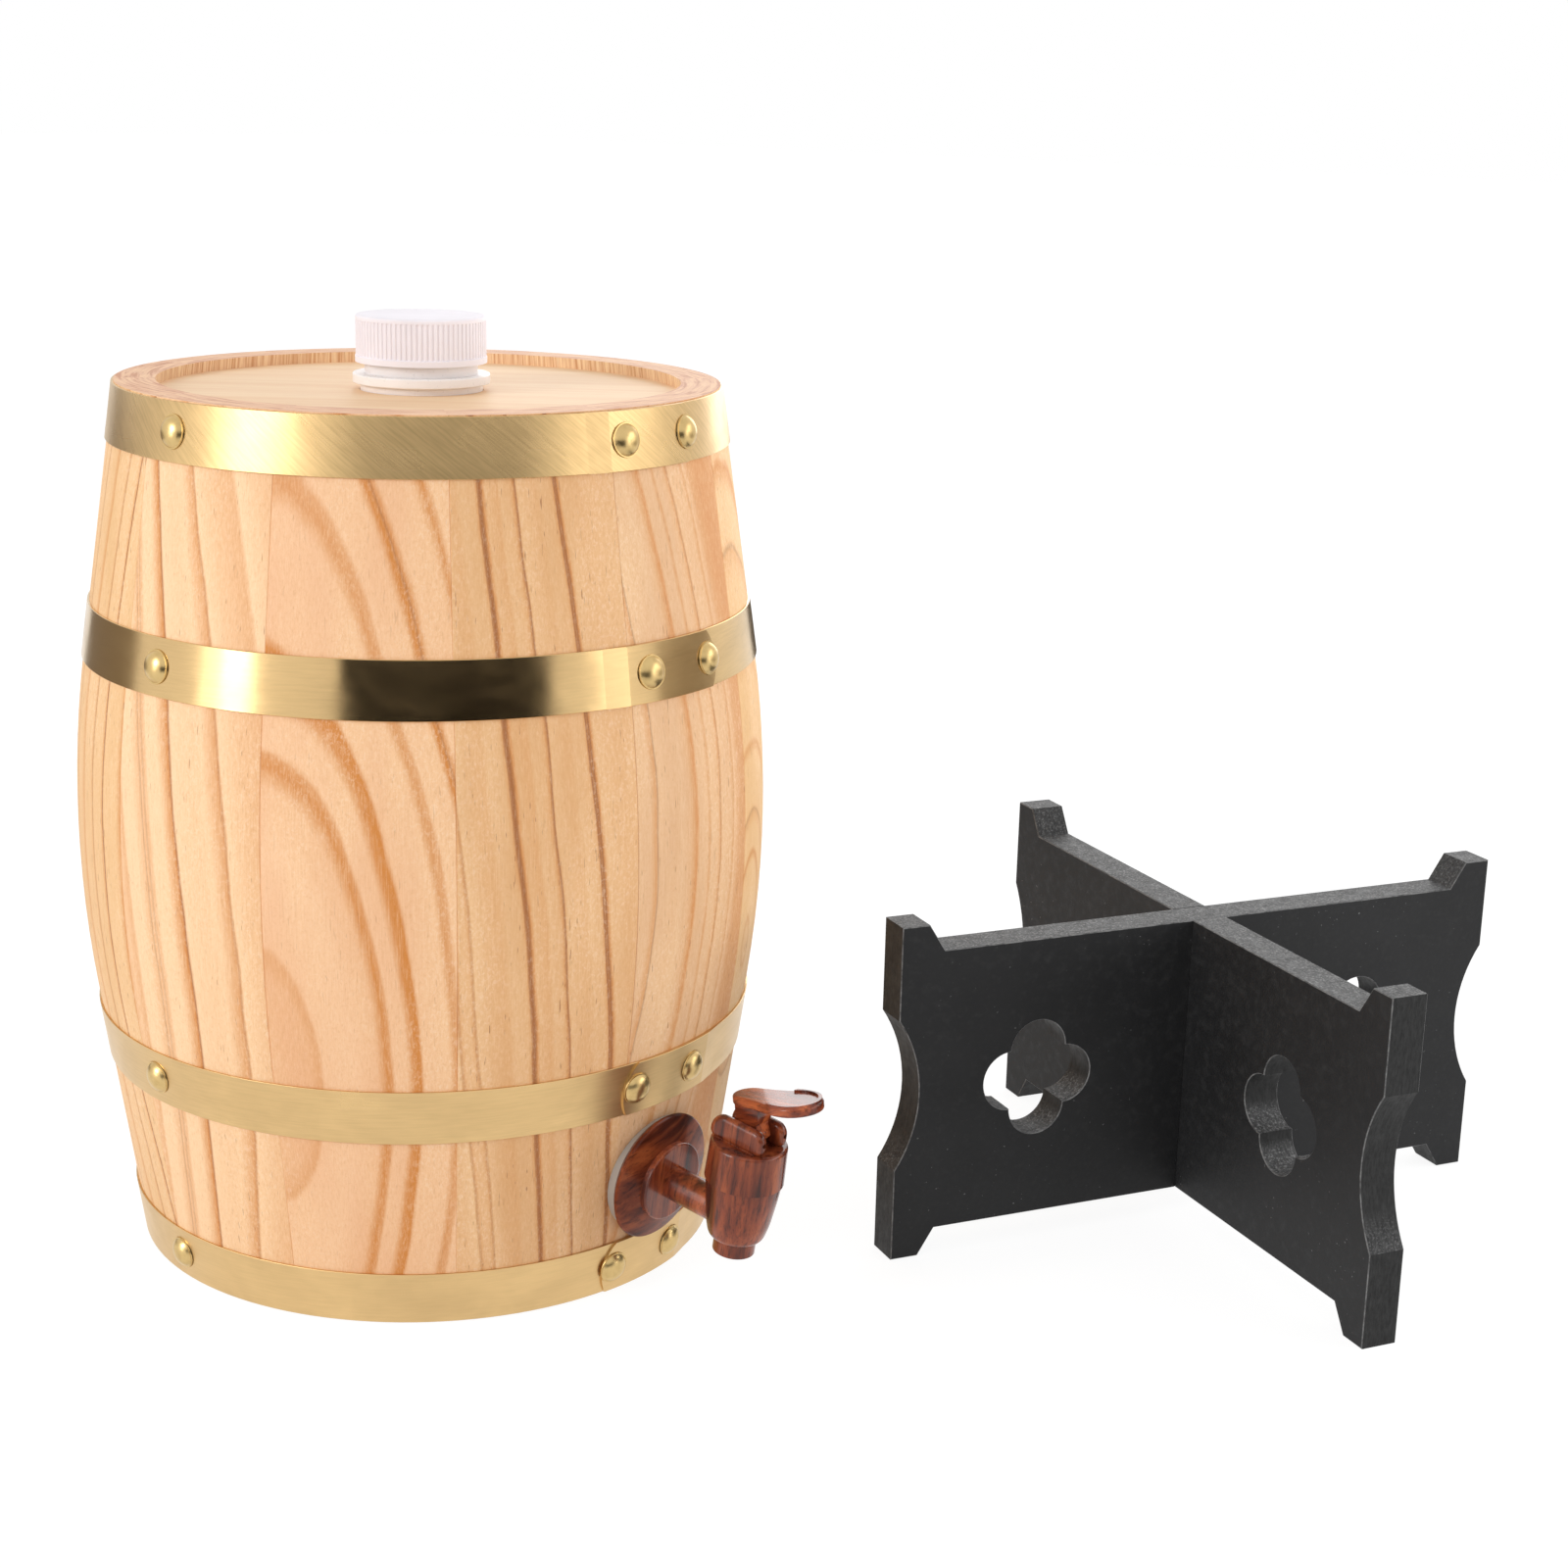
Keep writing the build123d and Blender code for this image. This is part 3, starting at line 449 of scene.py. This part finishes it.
    feed(tree, shader.inputs["Base Color"], colour)
    feed(tree, shader.inputs["Roughness"], remap(tree, fibre, 0.2, 0.8, 0.50, 0.66))
    shader.inputs["Specular IOR Level"].default_value = 0.4
    height = plus(tree, times(tree, fibre, 0.5), times(tree, fuzz, 0.8))
    height = minus(tree, height, times(tree, fleck, 0.4))
    feed(tree, shader.inputs["Normal"], bump(tree, height, 0.55, 0.0003))
    return material


def head_material(name, grain):
    """Flat board with the grain along one level direction."""
    material, tree, shader = new_material(name)
    place = object_place(tree)
    along = dot(tree, place, (grain[0], grain[1], 0.0))
    aside = dot(tree, place, (-grain[1], grain[0], 0.0))
    z = split(tree, place)[2]
    coord = vector(tree, times(tree, along, 12.0), times(tree, aside, 260.0),
                   times(tree, z, 120.0))
    bands = noise(tree, coord, 0.35, 3.0, 0.6, 0.4)
    fibre = noise(tree, coord, 6.0, 3.0, 0.6)
    colour = mix(tree, remap(tree, bands, 0.35, 0.65), HEAD_PALE, HEAD_DARK)
    colour = mix(tree, remap(tree, fibre, 0.5, 0.8, 0.0, 0.35), colour, HEAD_FIBRE)
    feed(tree, shader.inputs["Base Color"], colour)
    shader.inputs["Roughness"].default_value = 0.55
    shader.inputs["Specular IOR Level"].default_value = 0.4
    feed(tree, shader.inputs["Normal"], bump(tree, fibre, 0.25, 0.0002))
    return material


for number in range(1, STAVES + 1):
    give("stave_" + str(number).zfill(2), stave_material(number))
# the heads' grain lies level across the photograph
view_right = (math.cos(VIEW_AZIMUTH), math.sin(VIEW_AZIMUTH))
head_wood = head_material("head_board", view_right)
give("top_head", head_wood)
give("bottom_head", head_wood)


# ------------------------------------------------------------------ brass
BRASS = linear(226, 191, 136)
BRASS_MARKS = linear(120, 98, 50)
NAIL_BRIGHT = linear(214, 184, 126)
NAIL_DULL = linear(168, 138, 84)
# Radius, in millimetres, that turns azimuths into lengths along a hoop.
HOOP_RADIUS = 115.0


def brass_material(name, rough, brush, tilt, aniso):
    """Brushed brass strap; the brush marks run round the cask, tilted by some degrees."""
    material, tree, shader = new_material(name)
    x, y, z = split(tree, object_place(tree))
    run = times(tree, azimuth(tree, x, y), HOOP_RADIUS)
    z = times(tree, z, MM_PER_METRE)
    cos_t, sin_t = math.cos(math.radians(tilt)), math.sin(math.radians(tilt))
    along = plus(tree, times(tree, run, cos_t), times(tree, z, sin_t))
    aside = minus(tree, times(tree, z, cos_t), times(tree, run, sin_t))
    marks_at = vector(tree, times(tree, along, 0.09), times(tree, aside, 1.5), 2.7)
    marks = noise(tree, marks_at, 1.0, 2.0, 0.6)
    smear_at = vector(tree, times(tree, run, 0.03), times(tree, z, 0.05), 4.0)
    smear = noise(tree, smear_at, 1.0, 3.0, 0.6, 0.5)
    colour = mix(tree, remap(tree, smear, 0.3, 0.7), BRASS, darker(BRASS, 0.88))
    colour = mix(tree, remap(tree, marks, 0.35, 0.7, 0.0, brush), colour, BRASS_MARKS)
    feed(tree, shader.inputs["Base Color"], colour)
    shader.inputs["Metallic"].default_value = 1.0
    feed(tree, shader.inputs["Roughness"],
         remap(tree, smear, 0.3, 0.7, rough - 0.04, rough + 0.05))
    shader.inputs["Anisotropic"].default_value = aniso
    tangent = tree.nodes.new("ShaderNodeTangent")
    tangent.direction_type = "RADIAL"
    tangent.axis = "Z"
    feed(tree, shader.inputs["Tangent"], tangent.outputs[0])
    feed(tree, shader.inputs["Normal"], bump(tree, marks, 0.05 + 0.4 * brush, 0.00006))
    return material


give("hoop_1", brass_material("brass_hoop_1", rough=0.29, brush=0.24, tilt=-38, aniso=0.2))
give("hoop_2", brass_material("brass_hoop_2", rough=0.17, brush=0.08, tilt=2, aniso=0.1))
give("hoop_3", brass_material("brass_hoop_3", rough=0.30, brush=0.10, tilt=1, aniso=0.3))
give("hoop_4", brass_material("brass_hoop_4", rough=0.34, brush=0.07, tilt=1, aniso=0.3))

nail_brass, tree, shader = new_material("brass_nail")
spots = noise(tree, object_place(tree), 260.0, 3.0, 0.6)
feed(tree, shader.inputs["Base Color"],
     mix(tree, remap(tree, spots, 0.45, 0.75, 0.0, 0.4), NAIL_BRIGHT, NAIL_DULL))
shader.inputs["Metallic"].default_value = 1.0
feed(tree, shader.inputs["Roughness"], remap(tree, spots, 0.3, 0.7, 0.27, 0.34))
for hoop in range(1, 5):
    give("hoop_" + str(hoop) + "_nails", nail_brass)


# ------------------------------------------------------------------ plastics
# How far red, green and blue light spread inside the plastics, as shares of
# their subsurface scale.
SPREAD = (1.0, 0.94, 0.90)


def plastic(name, base, rough, **sockets):
    """Moulded plastic with a faint orange-peel surface."""
    material, tree, shader = new_material(name)
    place = object_place(tree)
    peel = noise(tree, place, 900.0, 2.0)
    tone = noise(tree, place, 60.0, 2.0)
    feed(tree, shader.inputs["Base Color"],
         mix(tree, remap(tree, tone, 0.3, 0.7), base, darker(base, 0.95)))
    feed(tree, shader.inputs["Roughness"], remap(tree, peel, 0.3, 0.7, rough - 0.03, rough + 0.03))
    feed(tree, shader.inputs["Normal"], bump(tree, peel, 0.06, 0.0001))
    for socket, value in sockets.items():
        shader.inputs[socket.replace("_", " ")].default_value = value
    shader.inputs["Subsurface Radius"].default_value = SPREAD
    return material


milky = plastic("milky_plastic", linear(255, 248, 246), 0.30, Transmission_Weight=0.05,
                Subsurface_Weight=0.35, Subsurface_Scale=0.002)
for node in ("liner", "liner_mouth", "neck_ring"):
    give(node, milky)
give("filler_cap", plastic("cap_white", linear(246, 241, 247), 0.55, Subsurface_Weight=0.15,
                           Subsurface_Scale=0.002, Specular_IOR_Level=0.08))
give("cap_seal", plastic("seal_grey", linear(228, 228, 228), 0.6))
silicone = plastic("silicone", linear(236, 226, 214), 0.4, Transmission_Weight=0.5)
for node in ("tap_washer", "shank_seal", "seat_cup"):
    give(node, silicone)


def rosewood(name, grain, scale, seed, shade=1.0, gloss=0.35):
    """Glossy brown plastic with a printed rosewood figure, drawn along a direction; shade darkens
    the figure by a share, as painted shade.
    """
    material, tree, shader = new_material(name)
    place = object_place(tree)
    along = Vector(grain).normalized()
    first = along.orthogonal().normalized()
    second = along.cross(first)
    run, u, v = (times(tree, dot(tree, place, tuple(axis)), MM_PER_METRE * scale)
                 for axis in (along, first, second))
    waver_at = vector(tree, times(tree, run, 0.05), times(tree, u, 0.1), times(tree, v, 0.1))
    waver = minus(tree, noise(tree, waver_at, 1.0, 2.0), 0.5)
    u = plus(tree, u, times(tree, waver, 3.0))

    def streaks(thick, length, detail, shift):
        """Streaks of a thickness and a length in millimetres."""
        at = vector(tree, times(tree, run, 1.0 / length), times(tree, u, 1.0 / thick),
                    plus(tree, times(tree, v, 1.0 / thick), seed + shift))
        return noise(tree, at, 1.0, detail, 0.6)

    # painted shade: every colour of the figure is darkened by the shade share
    def brown(*rgb):
        return linear(*(part * shade for part in rgb))

    broad = streaks(6.5, 46.0, 2.0, 0.0)
    middle = streaks(1.3, 17.0, 3.0, 11.0)
    pore = streaks(0.34, 4.5, 2.0, 23.0)
    colour = ramp(tree, broad, [(0.30, brown(70, 30, 20)), (0.44, brown(116, 50, 29)),
                                (0.56, brown(150, 70, 39)), (0.70, brown(188, 98, 54))])
    colour = mix(tree, remap(tree, middle, 0.52, 0.70, 0.0, 0.75), colour, brown(54, 24, 18))
    colour = mix(tree, remap(tree, middle, 0.44, 0.28, 0.0, 0.35), colour, brown(176, 98, 58))
    colour = mix(tree, remap(tree, pore, 0.56, 0.70, 0.0, 0.6), colour, linear(52, 20, 15))
    feed(tree, shader.inputs["Base Color"], colour)
    shader.inputs["Roughness"].default_value = 0.26
    shader.inputs["Specular IOR Level"].default_value = gloss * 0.7
    shader.inputs["Coat Weight"].default_value = gloss
    shader.inputs["Coat Roughness"].default_value = 0.08
    feed(tree, shader.inputs["Normal"], bump(tree, middle, 0.05, 0.0001))
    return material


# The body, bonnet and flange are one plastic, darkened by different shares as painted shade.
give("tap_body", rosewood("rosewood_body", TAP_UP, 1.0, 1.0, 0.93))
give("tap_bonnet", rosewood("rosewood_bonnet", TAP_UP, 1.0, 5.0, 0.88))
give("tap_flange", rosewood("rosewood_flange", (0.96, 0.0, 0.25), 0.8, 9.0, 0.82, 0.14))
give("lever", rosewood("rosewood_lever", TAP_OUT + TAP_UP * 0.4, 1.2, 13.0))
give("stem", rosewood("rosewood_stem", TAP_UP, 1.0, 17.0))

pin_steel, tree, shader = new_material("pin_steel")
wear = noise(tree, object_place(tree), 1500.0, 3.0)
feed(tree, shader.inputs["Base Color"],
     mix(tree, remap(tree, wear, 0.3, 0.7), linear(150, 148, 144), linear(110, 106, 102)))
shader.inputs["Metallic"].default_value = 1.0
shader.inputs["Roughness"].default_value = 0.3
give("pivot_pin", pin_steel)
give("link_pin", pin_steel)


# ------------------------------------------------------------------ black stained stand
FACE_DARK = linear(25, 25, 26)
FACE_PALE = linear(34, 34, 35)
FACE_MOTTLE = linear(60, 60, 60)
DUST = linear(150, 150, 150)
# Edge colours: greyer fibre, with painted shade on the edges that don't face up.
SHADED_EDGE_DARK = linear(18, 18, 18)
SHADED_EDGE_PALE = linear(44, 44, 44)
# Top edge colours: greyer fibre with painted light, paler than the other edges.
LIT_TOP_DARK = linear(38, 38, 39)
LIT_TOP_PALE = linear(78, 78, 78)
ARRIS_PALE = linear(124, 124, 124)


def stained_board(name, run):
    """Black-stained board: dense faces with pale dust and greyer fibrous edges; the top edges
    carry painted light and the other edges painted shade.
    """
    material, tree, shader = new_material(name)
    place = object_place(tree)
    normal = object_normal(tree)
    across = (-run.y, run.x, 0.0)
    along = dot(tree, place, (run.x, run.y, 0.0))
    aside = dot(tree, place, across)
    z = split(tree, place)[2]
    coord = vector(tree, along, z, aside)
    facing = size_of(tree, dot(tree, normal, across))
    edge = remap(tree, facing, 0.35, 0.2)
    arris = times(tree, remap(tree, facing, 0.3, 0.5), remap(tree, facing, 0.95, 0.85))
    mottle = noise(tree, coord, 260.0, 5.0, 0.7)
    streak_at = vector(tree, times(tree, along, 0.25), times(tree, z, 0.25), aside)
    streak = noise(tree, streak_at, 900.0, 4.0, 0.7)
    cloud = noise(tree, coord, 18.0, 3.0, 0.6)
    dust = remap(tree, noise(tree, coord, 700.0, 1.0), 0.74, 0.80)
    dust = times(tree, dust, remap(tree, cloud, 0.45, 0.7))
    grit = remap(tree, noise(tree, coord, 1100.0, 3.0, 0.7), 0.50, 0.68, 0.0, 0.6)

    face = mix(tree, remap(tree, cloud, 0.3, 0.7), FACE_DARK, FACE_PALE)
    face = mix(tree, remap(tree, mottle, 0.5, 0.8, 0.0, 0.42), face, FACE_MOTTLE)
    face = mix(tree, times(tree, dust, 0.6), face, DUST)
    plain = mix(tree, remap(tree, streak, 0.3, 0.7), SHADED_EDGE_DARK, SHADED_EDGE_PALE)
    lit_top_edge = mix(tree, remap(tree, streak, 0.3, 0.7), LIT_TOP_DARK, LIT_TOP_PALE)
    lit_top_edge = mix(tree, grit, lit_top_edge, DUST)
    # Painted light and shade: edges that face up take the paler top colour, the others the darker
    # one.
    lit_top_share = remap(tree, split(tree, normal)[2], 0.3, 0.7)
    colour = mix(tree, edge, face, mix(tree, lit_top_share, plain, lit_top_edge))
    # Paler grey on the chamfered arrises.
    pale_arris = times(tree, arris, remap(tree, mottle, 0.35, 0.6, 0.2, 0.9))
    colour = mix(tree, pale_arris, colour, ARRIS_PALE)
    feed(tree, shader.inputs["Base Color"], colour)
    feed(tree, shader.inputs["Roughness"], remap(tree, mottle, 0.3, 0.7, 0.5, 0.7))
    shader.inputs["Specular IOR Level"].default_value = 0.28
    feed(tree, shader.inputs["Normal"], bump(tree, streak, 0.25, 0.0003))
    return material


upper_run = Vector((math.cos(STAND_TURN), math.sin(STAND_TURN), 0.0))
lower_run = Vector((math.sin(STAND_TURN), -math.cos(STAND_TURN), 0.0))
give("stand_upper_board", stained_board("stained_upper", upper_run))
give("stand_lower_board", stained_board("stained_lower", lower_run))


# ------------------------------------------------------------------ floor and world
# The floor and the world look white, but light the object less than they look.
FLOOR_REACH = 14.0
FLOOR_GAP = 0.0002
FLOOR_GREY = (0.93, 0.93, 0.93, 1.0)
FLOOR_GLOW = 1.10
FLOOR_BLEND = 0.82
WORLD_LOOK = 1.0
WORLD_LIGHT = 0.74

floor_mesh = bpy.data.meshes.new("floor")
floor_mesh.from_pydata([(side * FLOOR_REACH, end * FLOOR_REACH, 0)
                        for side, end in ((-1, -1), (1, -1), (1, 1), (-1, 1))],
                       [], [(0, 1, 2, 3)])
floor = bpy.data.objects.new("floor", floor_mesh)
bpy.context.scene.collection.objects.link(floor)
floor.location.z = -FLOOR_GAP
material = bpy.data.materials.new("floor_white")
tree = empty_tree(material)
shader = tree.nodes.new("ShaderNodeBsdfPrincipled")
shader.inputs["Base Color"].default_value = FLOOR_GREY
shader.inputs["Roughness"].default_value = 0.9
shader.inputs["Specular IOR Level"].default_value = 0.0
glow = even_light(tree, "ShaderNodeEmission", FLOOR_GLOW)
glow_share = times(tree, looked_at(tree), FLOOR_BLEND)
show(tree, mix_shaders(tree, glow_share, shader.outputs[0], glow))
floor_mesh.materials.append(material)

world = bpy.data.worlds.new("studio")
bpy.context.scene.world = world
tree = empty_tree(world)
show(tree, mix_shaders(tree, looked_at(tree),
                       even_light(tree, "ShaderNodeBackground", WORLD_LIGHT),
                       even_light(tree, "ShaderNodeBackground", WORLD_LOOK)),
     "ShaderNodeOutputWorld")

# Dark cards on the floor round the cask, bent up at the back, which only
# reflections show: azimuths from and to, distance of the near edge and height
# of the top in metres, and brightness.
CARDS = [("card_front", -71.0, -4.0, 0.75, 0.53, 0.006),
         ("card_right", 36.0, 64.0, 1.2, 0.25, 0.30),
         ("card_back", 105.0, 150.0, 0.9, 0.42, 0.10),
         ("card_left", -192.0, -150.0, 1.0, 0.28, 0.25)]
CARD_RADIUS = 1.7
CARD_LIFT = 0.001
CARD_STEPS = 12
CARD_COLOUR = (1.0, 0.86, 0.72, 1.0)


def card(name, start, end, near, top, brightness):
    """Curved card on the floor, hidden from the camera and from diffuse light."""
    points, faces = [], []
    for step in range(CARD_STEPS + 1):
        turn = math.radians(start + (end - start) * step / CARD_STEPS)
        for radius, height in ((near, CARD_LIFT), (CARD_RADIUS, CARD_LIFT), (CARD_RADIUS, top)):
            points.append((radius * math.sin(turn), -radius * math.cos(turn), height))
        if step:
            last = 3 * step
            faces += [(last - 3, last, last + 1, last - 2),
                      (last - 2, last + 1, last + 2, last - 1)]
    mesh = bpy.data.meshes.new(name)
    mesh.from_pydata(points, [], faces)
    item = bpy.data.objects.new(name, mesh)
    bpy.context.scene.collection.objects.link(item)
    item.visible_camera = item.visible_diffuse = False
    item.visible_shadow = item.visible_transmission = False
    material = bpy.data.materials.new(name)
    tree = empty_tree(material)
    show(tree, even_light(tree, "ShaderNodeEmission", brightness, CARD_COLOUR))
    mesh.materials.append(material)


for row in CARDS:
    card(*row)


# ------------------------------------------------------------------ lamps and camera
def aim(item, target):
    """Point an object's -Z axis at a place."""
    direction = Vector(target) - item.location
    item.rotation_euler = direction.to_track_quat("-Z", "Y").to_euler()


def softbox(name, place, target, size, power):
    """Rectangular area lamp, size as (width, height) in metres and power in watts."""
    lamp = bpy.data.lights.new(name, "AREA")
    lamp.shape = "RECTANGLE"
    lamp.size, lamp.size_y = size
    lamp.energy = power
    item = bpy.data.objects.new(name, lamp)
    item.location = place
    bpy.context.scene.collection.objects.link(item)
    aim(item, target)
    return item


softbox("key_left", (-1.45, 0.30, 0.85), (0.0, 0.0, 0.18), (0.6, 0.55), 9.3)
softbox("fill_right", (0.95, -1.25, 0.75), (0.0, 0.0, 0.12), (0.7, 0.6), 3.0)
softbox("rim_right", (1.15, 0.45, 0.55), (0.05, 0.0, 0.15), (1.2, 0.8), 6.0)
softbox("fill_low", (0.70, -1.15, 0.24), (0.0, 0.0, 0.08), (0.8, 0.3), 4.6).visible_glossy = False
# strips that only the brass and the other glossy parts show
for row in (("strip_left", (-1.56, 0.44, 0.42), (0.0, 0.0, 0.25), (0.30, 0.8), 2.1),
            ("strip_left_wide", (-1.53, 0.56, 0.42), (0.0, 0.0, 0.25), (0.56, 0.8), 1.9),
            ("strip_front", (0.50, -1.56, 0.42), (0.0, 0.0, 0.25), (0.36, 0.75), 1.4)):
    softbox(*row).visible_diffuse = False

camera_data = bpy.data.cameras.new("camera")
camera_data.sensor_width = SENSOR_WIDTH
camera_data.lens = LENS
camera_data.clip_start = NEAREST
camera = bpy.data.objects.new("camera", camera_data)
bpy.context.scene.collection.objects.link(camera)
turn = Matrix.Rotation(VIEW_AZIMUTH, 4, "Z") @ Matrix.Rotation(VIEW_TILT, 4, "X")
turn = turn @ Matrix.Rotation(VIEW_ROLL, 4, "Z")
camera.matrix_world = Matrix.Translation(CAMERA_PLACE) @ turn
bpy.context.scene.camera = camera
bpy.context.scene.view_settings.view_transform = "Standard"

bpy.context.view_layer.update()
